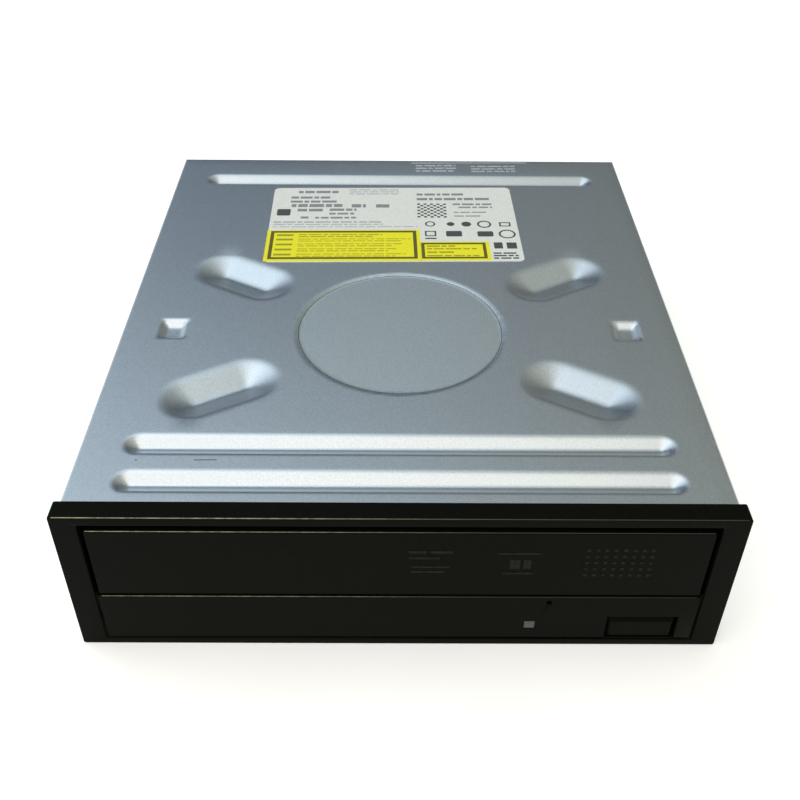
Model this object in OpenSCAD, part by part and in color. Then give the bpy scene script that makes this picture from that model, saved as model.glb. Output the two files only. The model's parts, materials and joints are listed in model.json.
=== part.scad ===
// Internal DVD writer: X to the right, Y to the back, Z up.
// Inside drive() Y counts from the front face of the bezel and Z from its lower edge.

/* [Case] */
// Overhang of the bezel over the case at each side
bezel_lap = 1.3; // [0.9:0.1:1.5]
// Radius of the bezel corners
bezel_r = 0.6; // [0.5:0.1:1]
// Height of the bezel
bezel_h = 42; // [41.9:0.1:42.3]
// Depth of the bezel in front of the case
bezel_d = 5; // [4.8:0.1:5.4]
// Width of the steel case
case_w = 146; // [145.8:0.1:146.6]
// Overall depth, bezel and case
drive_l = 170; // [169.6:0.2:174]
// Edge of the bezel over and under the case
case_gap = 0.35; // [0.2:0.05:0.5]
// Thickness of the case sheets
sheet = 0.8; // [0.7:0.05:0.9]
// Outer radius of the bends between the top and the sides
bend_r = 1; // [0.95:0.05:1.4]

/* [Pressings] */
// Distance of the rib ends from the side of the case
rib_end = 9.5; // [8:0.5:12]
// Width of the straight ribs
rib_w = 6.6; // [6:0.1:7]
// Depth of the straight ribs
rib_t = 1.75; // [1.2:0.05:2]
// Distance of the first rib from the front
rib1_y = 11.6; // [11:0.1:12]
// Distance of the second rib from the front
rib2_y = 23.8; // [23:0.1:25]
// Distance of the rear rib from the rear
rib_back = 15.2; // [12:0.1:15.5]
// Distance of the slanted pressings from the disc centre
spoke_d = 50.8; // [50:0.1:51.5]
// Slant of these pressings
spoke_a = 30; // [29:0.5:31]
// Radius of their ends
spoke_r = 7.85; // [7:0.05:8]
// Straight length of these pressings
spoke_l = 13.7; // [12:0.1:14]
// Depth of these pressings
spoke_t = 2.7; // [2:0.1:2.9]
// Radius of the round field over the clamp
field_r = 27.4; // [26:0.1:28]
// Depth of the round field
field_t = 0.5; // [0.3:0.1:0.8]
// Distance of the small pockets from the side of the case
pocket_side = 13.2; // [12.5:0.1:14]
// Depth of the small pockets
pocket_t = 1.5; // [1:0.1:1.8]

/* [Mounting holes] */
// First row of holes behind the bezel
hole_y = 47.4; // [47:0.1:48]
// Spacing of the rows along the case
hole_dy = 79.25; // [79:0.05:79.5]
// Height of the lower side holes over the case underside
hole_z = 9.9; // [9.6:0.05:10.2]
// Spacing of the side holes in height
hole_dz = 11.93; // [11.7:0.01:12.1]
// Spacing of the bottom holes across
hole_dx = 139.7; // [139.5:0.05:139.9]
// Diameter of the tapped holes
hole_d = 2.5; // [2.4:0.05:2.7]

/* [Front panel] */
// Width of the bezel beside the opening
gate_side = 5.7; // [5.5:0.1:5.9]
// Lower edge of the tray opening
gate_z0 = 17; // [16.9:0.05:17.2]
// Height of the bezel over the opening
gate_over = 2.5; // [2.3:0.05:2.7]
// Gap beside the tray door
door_gap = 1; // [0.7:0.1:1.1]
// Gap over the tray door
door_over = 1.8; // [1.5:0.1:2]
// Thickness of the tray door
door_t = 2.2; // [2:0.1:2.3]
// Distance of the eject button from the side of the bezel
button_side = 18.3; // [18:0.1:18.8]
// Distance of the status light from the button
led_dx = 26; // [25.5:0.1:26.5]
// Distance of the release hole from the button
pin_dx = 22.1; // [21.6:0.1:22.4]
// Width of the eject button
button_w = 15.6; // [15:0.1:15.8]
// Height of the eject button
button_h = 6.6; // [6.3:0.1:6.7]

/* [Tray] */
// Distance of the disc centre from the front
disc_y = 69.6; // [69.4:0.1:69.8]
// Distance of the tray from the side of the case
tray_side = 7.5; // [7.3:0.1:7.7]
// Radius of the recess for the large disc
well_r = 60.8; // [60.4:0.1:61.2]
// Radius of the recess for the small disc
mini_r = 40.6; // [40.3:0.1:41]
// Half width of the slot
slot_r = 20; // [19.5:0.1:20.4]
// Distance of the tray from the rear
tray_back = 8; // [7:0.1:9]

/* [Gears] */
// Tooth module
gear_m = 1; // [1:1:1]
// Teeth of the pulley pinion
teeth_a = 14; // [14:1:14]
// Teeth of the drive wheel
teeth_b = 28; // [28:1:28]
// Teeth of the rack pinion
teeth_c = 16; // [16:1:16]
// Play on each tooth flank
play = 0.08; // [0.07:0.01:0.12]

/* [Traverse] */
// Distance of the traverse pivot from the rear
pivot_back = 15; // [14.6:0.1:15.4]
// Height of the traverse pivot
pivot_z = 12.5; // [12.4:0.05:12.7]
// Lift angle of the traverse
lift_a = 5; // [4.8:0.1:5]
// Travel of the cam slider
cam_run = 20; // [19.5:0.1:20.5]
// Height of the disc seat
seat_z = 27.2; // [27:0.05:27.3]
// Radius of the guide rods
rod_r = 1.5; // [1.4:0.05:1.6]

/* [Hidden] */
$fn = 48;

steel = [0.62, 0.66, 0.68];
dark_abs = [0.09, 0.09, 0.085];
grey_abs = [0.20, 0.20, 0.21];
white_pom = [0.86, 0.86, 0.83];
rubber = [0.06, 0.06, 0.06];
board = [0.08, 0.30, 0.16];
chrome = [0.78, 0.79, 0.80];

e = 0.01;
half = case_w / 2;
inner = half - sheet;
case_low = case_gap;
case_top = bezel_h - case_gap;
floor_z = case_low + sheet;
roof_z = case_top - sheet;
back_y = drive_l - sheet;
row1 = bezel_d + hole_y;
row2 = row1 + hole_dy;
hole_low = case_low + hole_z;
bezel_w = case_w + 2 * bezel_lap;
bezel_t = 2.4;
rim_w = 2;
rim_h = 1.8;
gate_w = bezel_w - 2 * gate_side;
gate_z1 = bezel_h - gate_over;
door_z0 = gate_z0 + 0.5;
door_w = gate_w - 2 * door_gap;
door_h = gate_z1 - door_over - door_z0;
button_x = bezel_w / 2 - button_side;
led_x = button_x - led_dx;
pin_x = button_x - pin_dx;
rib_l = case_w - 2 * rib_end;
rib3_y = drive_l - rib_back;
pocket_x = half - pocket_side;
vents = 9;
vent_dx = 5.2;
tray_w = case_w - 2 * tray_side;
tray_end = drive_l - tray_back;
pivot_y = drive_l - pivot_back;
frame_end = drive_l - 8;
wall_x = inner - 1.6;
wall_in = wall_x - 2;
well_x = wall_in - 17.1;
holder_x = well_x - 1.5;
deck_z = 11.5;
gear_b = [17.5 - tray_w / 2, 27];
rb = gear_m * teeth_b / 2;
ra = gear_m * teeth_a / 2;
rc = gear_m * teeth_c / 2;
gear_a = [gear_b[0] + ra + rb, gear_b[1]];
motor = [6, 25];
rack_x = gear_b[0] - rc;
tray_low = 18.5;
tray_top = 27.5;
well_z = 25.3;
mini_z = 24.3;
skin = 2;
cam_y = 44.2;
cam_t = 2.2;
pin_r = 1.5;
pin_z = 15;
pin_drop = (pivot_y - cam_y - cam_t / 2) * sin(lift_a)
  + (pin_z - pivot_z) * (1 - cos(lift_a));
belt_z = 15.9;
belt_t = 1.1;
belt_fit = 0.1;
pulley_s = 3.2;
pulley_b = 9.9;
post_a = 1.5;
post_b = 2;
plate_z = 15.4;
plate_t = 1.2;
rod_z = plate_z + plate_t + rod_r;
rod_x = 26;
sub_x = 24;
screw_x = 35.5;
damper_x = holder_x - 4;
damper_y = [58, pivot_y - 2];
screw_z = 15.5;
lens_y = disc_y + 23.4;
bridge_z = 33;
bridge_t = 1.2;
board_z = floor_z + 1.45;
board_t = 1.6;
board_top = board_z + board_t;
board_y = drive_l - 78;
boss_x = 48;
boss_y = [board_y + 6, drive_l - 20];
cable_x = button_x - 1;
panel_screws = [button_x - 30, button_x - 10];
front_z = 3;
front_top = front_z + 1.2;
run_fit = 0.04;
corner = [[inner - 8.2, 16], [inner - 8.2, drive_l - 10]];
arms = [30, 150, -35, -145];

module drive() translate([0, -drive_l / 2, 0]) children();
module both() { children(); mirror([1, 0, 0]) children(); }
module box(x0, x1, y0, y1, z0, z1) translate([x0, y0, z0]) cube([x1 - x0, y1 - y0, z1 - z0]);
module rod(x, y, z0, z1, r) translate([x, y, z0]) cylinder(h = z1 - z0, r = r);
module rod_in_x(x0, x1, y, z, r) translate([x0, y, z]) rotate([0, 90, 0]) cylinder(h = x1 - x0, r = r);
module rod_in_y(x, y0, y1, z, r) translate([x, y0, z]) rotate([-90, 0, 0]) cylinder(h = y1 - y0, r = r);
module round_rect(w, h, r) {
  square([w - 2 * r, h], center = true);
  square([w, h - 2 * r], center = true);
  for (i = [-1, 1], j = [-1, 1]) translate([i * (w / 2 - r), j * (h / 2 - r)]) circle(r = r);
}
module slab(w, l, r, z0, z1) translate([0, 0, z0]) linear_extrude(z1 - z0) round_rect(w, l, r);
module slot_2d(a, b, r) {
  d = b - a;
  translate(a) circle(r = r);
  translate(b) circle(r = r);
  translate(a) rotate(atan2(d[1], d[0])) translate([0, -r]) square([norm(d), 2 * r]);
}
// face seen from the front, pushed back from y0 to y1
module front_to(y0, y1) translate([0, y1, 0]) rotate([90, 0, 0]) linear_extrude(y1 - y0) children();

// trough pressed down from z = 0: straight length l, half width r, half floor f, depth t
module trough(l, r, f, t) {
  rotate([90, 0, 90]) translate([0, 0, -l / 2]) linear_extrude(l)
    polygon([[-r, 0.4], [r, 0.4], [r, 0], [f, -t], [-f, -t], [-r, 0]]);
  for (s = [-1, 1]) translate([s * l / 2, 0, 0]) {
    translate([0, 0, -t]) cylinder(h = t, r1 = f, r2 = r);
    cylinder(h = 0.4, r = r);
  }
}
module dish(a, b, t) intersection() {
  rotate([90, 0, 90]) translate([0, 0, -a / 2]) linear_extrude(a)
    polygon([[-b / 2, 0.4], [b / 2, 0.4], [b / 2, 0], [b / 2 - t, -t], [t - b / 2, -t], [-b / 2, 0]]);
  translate([0, b / 2, 0]) rotate([90, 0, 0]) linear_extrude(b)
    polygon([[-a / 2, 0.4], [a / 2, 0.4], [a / 2, 0], [a / 2 - t, -t], [t - a / 2, -t], [-a / 2, 0]]);
}
module pressings() {
  for (y = [rib1_y, rib2_y, rib3_y]) translate([0, y, 0])
    trough(rib_l - rib_w, rib_w / 2, 0.3, rib_t);
  for (i = [-1, 1], j = [-1, 1])
    translate([i * spoke_d * cos(spoke_a), disc_y + j * spoke_d * sin(spoke_a), 0])
      rotate(i * j * spoke_a) trough(spoke_l, spoke_r, 0.6, spoke_t);
  both() translate([pocket_x, disc_y - 0.1, 0]) dish(7, 8, pocket_t);
}
module round_field() {
  translate([0, disc_y, -field_t]) cylinder(h = field_t, r1 = field_r - 0.9, r2 = field_r);
  translate([0, disc_y, 0]) cylinder(h = 0.4, r = field_r);
}
module hood_2d(w, z0, z1, r) {
  translate([-w / 2, z0]) square([w, z1 - r - z0]);
  translate([-w / 2 + r, z0]) square([w - 2 * r, z1 - z0]);
  for (s = [-1, 1]) translate([s * (w / 2 - r), z1 - r]) circle(r = r);
}

module top_cover() color(steel) drive() difference() {
  union() {
    front_to(bezel_d, drive_l) difference() {
      hood_2d(case_w, 1.6, case_top, bend_r);
      translate([0, -e]) hood_2d(case_w - 2 * sheet, 1.6, roof_z + e, bend_r - sheet);
    }
    front_to(back_y, drive_l) hood_2d(case_w, 14, case_top, bend_r);
    translate([0, 0, roof_z]) pressings();
    translate([0, 0, roof_z]) round_field();
    both() for (y = [row1, row2], z = [hole_low, hole_low + hole_dz])
      rod_in_x(inner - 1.1, inner + e, y, z, hole_d / 2 + 0.8);
  }
  translate([0, 0, case_top]) pressings();
  translate([0, 0, case_top]) round_field();
  both() {
    for (y = [row1, row2], z = [hole_low, hole_low + hole_dz])
      rod_in_x(inner - 2, half + 1, y, z, hole_d / 2);
    box(inner - 1, half + 1, 8.2, 11.4, 22, 30);
    rod_in_x(inner - 1, half + 1, 92, 30, 2.5);
    box(inner - 1, half + 1, 24, 30, 1, 3.4);
    box(inner - 1, half + 1, drive_l - 22, drive_l - 16, 1, 3.4);
  }
  for (i = [0:vents - 1]) translate([12 - half + vent_dx * i, 0, 0])
    box(0, vent_dx / 2, back_y - 1, drive_l + 1, 24, 33);
}

module screw_seat(z) translate([0, 0, z]) cylinder(h = 1.2, r1 = 4.6, r2 = 3.4);
module bottom_cover() color(steel) drive() difference() {
  union() {
    box(-inner, inner, bezel_d + 0.6, drive_l - sheet, case_low, floor_z);
    both() box(inner - sheet, inner, bezel_d + 0.6, drive_l - sheet, case_low, 6.5);
    box(-inner, inner, drive_l - 2 * sheet, drive_l - sheet, case_low, 13.6);
    for (c = corner) both() translate([c[0], c[1], 0]) screw_seat(floor_z - e);
    both() for (y = [row1, row2]) rod(hole_dx / 2, y, floor_z - e, floor_z + 1.2, hole_d / 2 + 0.75);
    both() for (y = boss_y) rod(boss_x, y, floor_z - e, board_z, 2.4);
  }
  for (c = corner) both() translate([c[0], c[1], 0]) {
    screw_seat(case_low);
    cylinder(h = case_low + e, r = 4.58);
    cylinder(h = 9, r = 1.5);
  }
  both() for (y = [row1, row2]) rod(hole_dx / 2, y, case_low - 1, floor_z + 3, hole_d / 2);
  both() for (y = boss_y) rod(boss_x, y, case_low - 1, board_z + 1, 1.2);
  box(-44.5, -27.5, drive_l - 4, drive_l + 1, board_top - 0.1, 12.2);
  box(-23.5, 4.5, drive_l - 4, drive_l + 1, board_top - 0.1, 12.2);
  for (i = [0:5]) slotted(18 + 7 * i, drive_l - 4, 8);
  for (i = [0:3]) translate([-30 + 20 * i, 60, 0]) slab(12, 3, 1.4, -1, 3);
}
module slotted(x, y, z) box(x, x + 3.6, y, y + 6, z - 1.4, z + 1.4);

module cover_screws() color(chrome) drive() for (c = corner) both() translate([c[0], c[1], 0])
  difference() {
    union() {
      translate([0, 0, case_low + 1.2 - 0.9]) cylinder(h = 0.9, r = 2.6);
      translate([0, 0, case_low + 1]) cylinder(h = 7.2, r = 1.25);
    }
    for (a = [0, 90]) rotate(a) translate([-1.5, -0.25, case_low]) cube([3, 0.5, 0.7]);
  }

module label() color([0.92, 0.93, 0.93]) drive()
  translate([-2, drive_l - 43.6, 0]) rotate(1) slab(76, 45.9, 1.8, case_top, case_top + 0.1);

module bezel_gate(z0, z1) translate([0, (z0 + z1) / 2]) round_rect(gate_w, z1 - z0, 0.6);
module bezel() color(dark_abs) drive() difference() {
  union() {
    front_to(0, bezel_d) difference() {
      translate([0, bezel_h / 2]) round_rect(bezel_w, bezel_h, bezel_r);
      translate([0, bezel_h / 2]) round_rect(bezel_w - 2 * rim_w, bezel_h - 2 * rim_h, 0.5);
    }
    front_to(0, bezel_t) translate([0, bezel_h / 2]) round_rect(bezel_w, bezel_h, bezel_r);
    both() {
      box(inner - 3.1, inner - 0.9, 2, 14, 21.4, 30.6);
      box(inner - 1, inner + 0.5, 8.5, 11, 22.4, 29.6);
      box(inner - 4.4, inner - 2.2, 2, 7.4, 4, 15);
    }
    for (x = [-40, 0, 34]) {
      box(x - 5, x + 5, 2, 10.6, floor_z, floor_z + 1.4);
      box(x - 5, x + 5, 2, rib1_y - rib_w / 2 - 0.3, roof_z - 1.3, roof_z - 0.1);
    }
  }
  front_to(-1, 3) bezel_gate(gate_z0, gate_z1);
  front_to(-1, 0.5) difference() {
    translate([-gate_w / 2, 2]) square([gate_w, gate_z0]);
    translate([0.6 - gate_w / 2, 2.5]) square([gate_w - 1.2, gate_z0]);
  }
  box(-gate_w / 2 - 2, gate_w / 2 + 2, bezel_t, bezel_d + 1, gate_z0 - 0.8, gate_z1 + 0.5);
  box(button_x - button_w / 2 - 0.35, button_x + button_w / 2 + 0.35, -1, 6, 2.6, 3 + button_h + 0.5);
  box(led_x - 1.3, led_x + 1.3, -1, 6, 6, 8.45);
  rod_in_y(pin_x, -1, 6, pin_z, 0.65);
}

module tray_door() color(dark_abs) drive() difference() {
  union() {
    box(-door_w / 2, door_w / 2, 0.2, 0.2 + door_t, door_z0, door_z0 + door_h);
    for (x = [-58, -20, 20, 58]) box(x - 1, x + 1, 2.2, 2.6, door_z0 + 2, door_z0 + 16);
    for (x = [-46, 0, 46]) {
      box(x - 5, x + 5, 2.2, 5.6, tray_top, tray_top + 1.4);
      box(x - 4, x + 4, 4.6, 5.6, tray_top - 3, tray_top + 0.2);
    }
  }
  box(-door_w, door_w, 0, 0.45, door_z0 + door_h - 0.25, door_z0 + door_h + 1);
}

module eject_button() color(dark_abs) drive() difference() {
  union() {
    box(button_x - button_w / 2, button_x + button_w / 2, 0.3, 3.6, 3, 3 + button_h);
    box(button_x - 9, button_x + 9, 2.9, 4, 3, 4.2);
    box(button_x - 2.4, button_x + 2.4, 3.4, 9.9, 5, 8.4);
  }
  for (s = [-1, 1]) translate([button_x + s * button_w / 2, 0.3, 0]) rotate(45)
    translate([-0.6, -0.6, 2]) cube([1.2, 1.2, 9]);
  translate([button_x - 12, 0.3, 3 + button_h]) rotate([45, 0, 0])
    translate([0, -1.1, -1.1]) cube([24, 2.2, 2.2]);
}

module light_pipe() color([0.75, 0.77, 0.80]) drive() {
  box(led_x - 1.2, led_x + 1.2, 0.1, 9.4, 6.1, 8.35);
  box(led_x - 1.2, led_x + 1.2, 7, 9.4, front_top + 1.1, 6.2);
}

// toothed outline with its first tooth on the +X side
function inv(a) = tan(a) * 180 / PI - a;
function flank(m, z, r) = let(rp = m * z / 2, base = rp * cos(20))
  (90 / z) - play / rp * 180 / PI + inv(20) - (r > base ? inv(acos(base / r)) : 0);
function tooth(m, z) = let(rp = m * z / 2, base = rp * cos(20), rf = rp - 1.15 * m,
    ro = rp + 0.85 * m, r0 = max(base, rf))
  concat([[rf, flank(m, z, r0)]], [for (i = [0:3]) let(r = r0 + (ro - r0) * i / 3) [r, flank(m, z, r)]]);
module gear_2d(m, z) polygon([for (k = [0:z - 1]) for (p = concat(
    [for (q = tooth(m, z)) [q[0], k * 360 / z - q[1]]],
    [for (i = [4:-1:0]) let(q = tooth(m, z)[i]) [q[0], k * 360 / z + q[1]]]))
  [p[0] * cos(p[1]), p[0] * sin(p[1])]]);
module gear(m, z, z0, z1) translate([0, 0, z0]) linear_extrude(z1 - z0) gear_2d(m, z);

rack_n = floor((tray_end - 4 - gear_b[1]) / (PI * gear_m));
module rack_2d() {
  p = PI * gear_m;
  h = p / 4 - play;
  k = tan(20);
  for (i = [-2:rack_n]) translate([rack_x, gear_b[1] + (i + 0.5) * p]) polygon([
    [-1.3 * gear_m, -h - 1.15 * k], [-1.15 * gear_m, -h - 1.15 * k], [0.85 * gear_m, -h + 0.85 * k],
    [0.85 * gear_m, h - 0.85 * k], [-1.15 * gear_m, h + 1.15 * k], [-1.3 * gear_m, h + 1.15 * k]]);
  translate([rack_x - 4, gear_b[1] - 2 * p]) square([4 - 1.15 * gear_m, (rack_n + 3) * p]);
}

module tray_slot(r, y1) {
  circle(r = r);
  translate([-r, 0]) square([2 * r, y1]);
}
module disc_tray() color(grey_abs) drive() difference() {
  union() {
    difference() {
      translate([0, 0, tray_low]) linear_extrude(tray_top - tray_low)
        translate([0, (2.6 + tray_end) / 2]) round_rect(tray_w, tray_end - 2.6, 1.5);
      difference() {
        translate([0, 0, tray_low - 1]) linear_extrude(tray_top - tray_low)
          translate([0, (2.6 + tray_end) / 2 + 1]) square([tray_w - 4, tray_end - 2.6 - 4 + 2], center = true);
        rod(0, disc_y, well_z - skin, tray_top + 1, well_r + 2);
        rod(0, disc_y, mini_z - skin, tray_top + 1, mini_r + 2);
        box(-tray_w, tray_w, 0, tray_end + 1, tray_top - skin, tray_top + 1);
      }
    }
    both() box(tray_w / 2 - 1, tray_w / 2 + 1.9, 6, tray_end - 2, tray_low, tray_low + 1.8);
    translate([0, 0, tray_low + 0.1]) linear_extrude(tray_top - skin - tray_low) rack_2d();
    both() translate([slot_r, disc_y, mini_z - skin]) cube([1.6, tray_end - disc_y, tray_top - mini_z + skin]);
  }
  rod(0, disc_y, well_z, tray_top + 1, well_r);
  rod(0, disc_y, mini_z, tray_top + 1, mini_r);
  translate([0, disc_y, tray_low - 2]) linear_extrude(20) tray_slot(slot_r, 100);
  both() {
    translate([well_r - 1, disc_y, well_z]) cylinder(h = 5, r = 9);
    translate([52, 16, tray_top - 1]) cylinder(h = 5, r = 4);
  }
  translate([0, 14.5, well_z]) cylinder(h = 5, r = 9);
  for (x = [-46, 0, 46]) box(x - 5.2, x + 5.2, 4.5, 5.8, tray_top - 3.2, tray_top + 1);
  for (x = [-46, 0, 46]) box(x - 5.2, x + 5.2, 2, 5.8, tray_top - 1, tray_top + 1);
  box(-60, -54, 140, tray_end + 5, tray_top - 0.6, tray_top + 1);
}

module frame_wall() {
  box(wall_in, wall_x, 8, frame_end, floor_z, 25.5);
  box(wall_in, wall_x, disc_y - 12, disc_y + 12, 25, bridge_z);
  box(tray_w / 2 - 2, wall_in + e, 8, frame_end, 16.4, tray_low - 0.25);
  for (y = [34, 84, drive_l - 58, drive_l - 20])
    box(tray_w / 2 + 0.4, wall_in + e, y, y + 10, tray_low + 2.1, tray_low + 4);
}
module main_frame() color(dark_abs) drive() difference() {
  union() {
    both() {
      frame_wall();
      box(well_x, wall_in + e, 43, frame_end, 9.5, deck_z);
      for (c = corner) rod(c[0], c[1], floor_z + 1.2 - e, deck_z, 3.6);
      box(well_x, well_x + 5.5, pivot_y - 5, pivot_y + 5, 9.5, pivot_z + 4.9);
      box(well_x, well_x + 1.5, 45, frame_end, 9.5, 14);
    }
    box(-wall_x, wall_x, 8, cam_y - 0.8, 9.5, deck_z);
    box(-wall_x, wall_x, frame_end - 1.4, frame_end, 9.5, 16.2);
    box(-wall_x, wall_x, 8, 9.6, floor_z, 16.6);
    rod(motor[0], motor[1], 9.5, 14.2, 14);
    rod(gear_a[0], gear_a[1], deck_z - e, 18.6, post_a);
    rod(gear_a[0], gear_a[1], deck_z - e, deck_z + 0.4, 3);
    rod(gear_b[0], gear_b[1], deck_z - e, 22.3, post_b);
    rod(gear_b[0], gear_b[1], deck_z - e, deck_z + 0.4, 4);
    for (x = panel_screws) rod(x, 18, front_top, 10, 2.5);
    for (x = [-20, 20]) box(x - 2.5, x + 2.5, cam_y - 5.2, cam_y - 3.4, deck_z - e, 14.6);
    for (x = [-20, 20]) box(x - 2.5, x + 2.5, cam_y - 5.2, cam_y - 2.2, 13.5, 14.6);
  }
  box(-well_x, well_x, cam_y - 0.8, frame_end - 1.4, 0, 40);
  rod(motor[0], motor[1], 0, 12.8, 12.3);
  rod(motor[0], motor[1], 0, 20, 3.4);
  box(button_x - 38, button_x + 12, 7, 11, 0, 9.5);
  rod_in_y(pin_x, 7, 11, pin_z, 1.2);
  for (x = [-40, 0, 34]) box(x - 5.5, x + 5.5, 7, 11.2, 0, floor_z + 1.8);
  both() {
    rod_in_x(well_x - 1, well_x + 7, pivot_y, pivot_z, 2 + run_fit);
    for (y = [row1, row2], z = [hole_low, hole_low + hole_dz]) rod_in_x(wall_in - 2.6, wall_x + 2, y, z, 2.4);
    for (y = [row1, row2]) rod(hole_dx / 2, y, 0, 7, 2.4);
    box(wall_in - 1, wall_x + 1, 7, 16, 20.6, 31);
    for (c = corner) rod(c[0], c[1], 0, 9, 1.25);
    for (y = [disc_y - 8, disc_y + 8]) rod(wall_in + 1, y, bridge_z - 5, bridge_z + 1, 0.6);
    box(well_x + 3, wall_in - 2.6, 56, 82, 9, 12);
    box(well_x + 3, wall_in - 2.6, 92, 124, 9, 12);
  }
  box(-45, 5, frame_end - 2, frame_end + 1, 0, 12.2);
  for (x = panel_screws) rod(x, 18, 0, 7.2, 1);
}

module clamp_bridge() color(steel) drive() difference() {
  union() {
    box(-wall_x, wall_x, disc_y - 11.5, disc_y + 11.5, bridge_z, bridge_z + bridge_t);
    rod(0, disc_y, bridge_z, bridge_z + bridge_t, 21);
    for (s = [-1, 1]) box(-60, -19, disc_y + s * 11.5 - (s > 0 ? 1 : 0),
      disc_y + s * 11.5 + (s > 0 ? 0 : 1), bridge_z, bridge_z + 3);
    for (s = [-1, 1]) box(19, 60, disc_y + s * 11.5 - (s > 0 ? 1 : 0),
      disc_y + s * 11.5 + (s > 0 ? 0 : 1), bridge_z, bridge_z + 3);
  }
  rod(0, disc_y, 0, 40, 14.2);
  both() for (y = [disc_y - 8, disc_y + 8]) rod(wall_in + 1, y, 0, 40, 0.8);
  both() translate([42, disc_y, 0]) slab(20, 8, 2, 30, 40);
}
module bridge_screws() color(chrome) drive() both() for (y = [disc_y - 8, disc_y + 8])
  difference() {
    union() {
      rod(wall_in + 1, y, bridge_z - 4, bridge_z + 1.3, 0.6);
      rod(wall_in + 1, y, bridge_z + bridge_t, bridge_z + bridge_t + 1, 1.5);
    }
    rod(wall_in + 1, y, bridge_z + bridge_t + 0.5, bridge_z + 4, 0.5);
  }

module clamper() color(white_pom) drive() translate([0, disc_y, 0]) difference() {
  union() {
    rod(0, 0, bridge_z + bridge_t + 0.1, 35.5, 17);
    rod(0, 0, 28.8, 35, 13);
    rod(0, 0, 35, 36.8, 12.4);
  }
  rod(0, 0, 28, 31.4, 8.4);
  rod(0, 0, 33, 40, 11);
  rod(0, 0, 28, 29.4, 11.4);
}
module clamper_plate() color(chrome) drive() translate([0, disc_y, 0]) {
  rod(0, 0, 33, 34.2, 10.9);
  rod(0, 0, 34.2, 36, 7);
}

module load_motor() color([0.70, 0.71, 0.72]) drive() translate([motor[0], motor[1], 0]) difference() {
  union() {
    rod(0, 0, 1.5, 12.8, 12.2);
    rod(0, 0, 12.8 - e, 13.6, 3.2);
    translate([0, 0, 1.3]) cylinder(h = 0.3, r = 6);
  }
  rod(0, 0, 2.2, 14, 1 + run_fit);
}
module motor_pulley() color(white_pom) drive() translate([motor[0], motor[1], 0]) {
  rod(0, 0, belt_z - 1.1, belt_z + 2.1, pulley_s);
  rod(0, 0, belt_z - 1.1, belt_z - 0.4, pulley_s + 1.2);
  rod(0, 0, belt_z + 1.4, belt_z + 2.1, pulley_s + 1.2);
  rod(0, 0, 2.4, belt_z + 2.5, 1);
}
module belt_2d(g) hull() {
  translate(motor) circle(r = pulley_s + belt_fit + g);
  translate(gear_a) circle(r = pulley_b + belt_fit + g);
}
module drive_belt() color(rubber) drive() translate([0, 0, belt_z]) linear_extrude(belt_t) difference() {
  belt_2d(belt_t);
  belt_2d(0);
}
module pulley_gear() color(white_pom) drive() translate([gear_a[0], gear_a[1], 0]) difference() {
  union() {
    rotate(180 + 180 / teeth_a) gear(gear_m, teeth_a, deck_z + 0.5, 15);
    rod(0, 0, belt_z - 1, belt_z - 0.4, pulley_b + 1.1);
    rod(0, 0, belt_z - 0.5, belt_z + 1.6, pulley_b);
    rod(0, 0, belt_z + 1.5, belt_z + 2.1, pulley_b + 1.1);
  }
  rod(0, 0, 0, 30, post_a + run_fit);
  for (a = [0:60:300]) rotate(a) rod(6, 0, 15.4, 19, 1.8);
}
module drive_gear() color(white_pom) drive() translate([gear_b[0], gear_b[1], 0]) difference() {
  union() {
    gear(gear_m, teeth_b, deck_z + 0.5, 14.5);
    rod(0, 0, 14.4, 18.8, 5.8);
    rotate(180) gear(gear_m, teeth_c, 18.4, 22);
  }
  rod(0, 0, 0, 30, post_b + run_fit);
  for (a = [0:72:288]) rotate(a) rod(9.2, 0, 0, 14.6, 2);
}
module gear_clips() color(chrome) drive() {
  translate([gear_a[0], gear_a[1], 18.1]) difference() {
    cylinder(h = 0.4, r = 3);
    translate([0, 0, -1]) cylinder(h = 3, r = post_a);
  }
  translate([gear_b[0], gear_b[1], 22.05]) difference() {
    cylinder(h = 0.25, r = 3.6);
    translate([0, 0, -1]) cylinder(h = 3, r = post_b);
  }
}

module cam_track() {
  slot_2d([4, pin_z], [0, pin_z], pin_r + 0.3);
  slot_2d([0, pin_z], [-cam_run, pin_z - pin_drop], pin_r + 0.3);
  slot_2d([-cam_run, pin_z - pin_drop], [-cam_run - 3, pin_z - pin_drop], pin_r + 0.3);
}
module cam_slider() color(white_pom) drive() difference() {
  union() {
    front_to(cam_y, cam_y + cam_t) translate([-42, 1.7]) square([65, 16.3]);
    box(-28, 40, cam_y - 3, cam_y + e, deck_z + 0.1, deck_z + 1.5);
    box(-16.5, -3.5, cam_y - 4.4, cam_y - 2.9, deck_z + 0.1, deck_z + 1.5);
    translate([0, 0, deck_z + 1.4]) linear_extrude(4.6)
      polygon([[26, cam_y + e], [40, cam_y + e], [40, cam_y - 3], [36, cam_y - 3]]);
  }
  for (x = [-15, 15]) translate([x, 0]) front_to(cam_y - 1, cam_y + cam_t + 1) cam_track();
  for (x = [-28, 2]) front_to(cam_y - 1, cam_y + cam_t + 1) translate([x, 5]) circle(r = 1.6);
}

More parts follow.
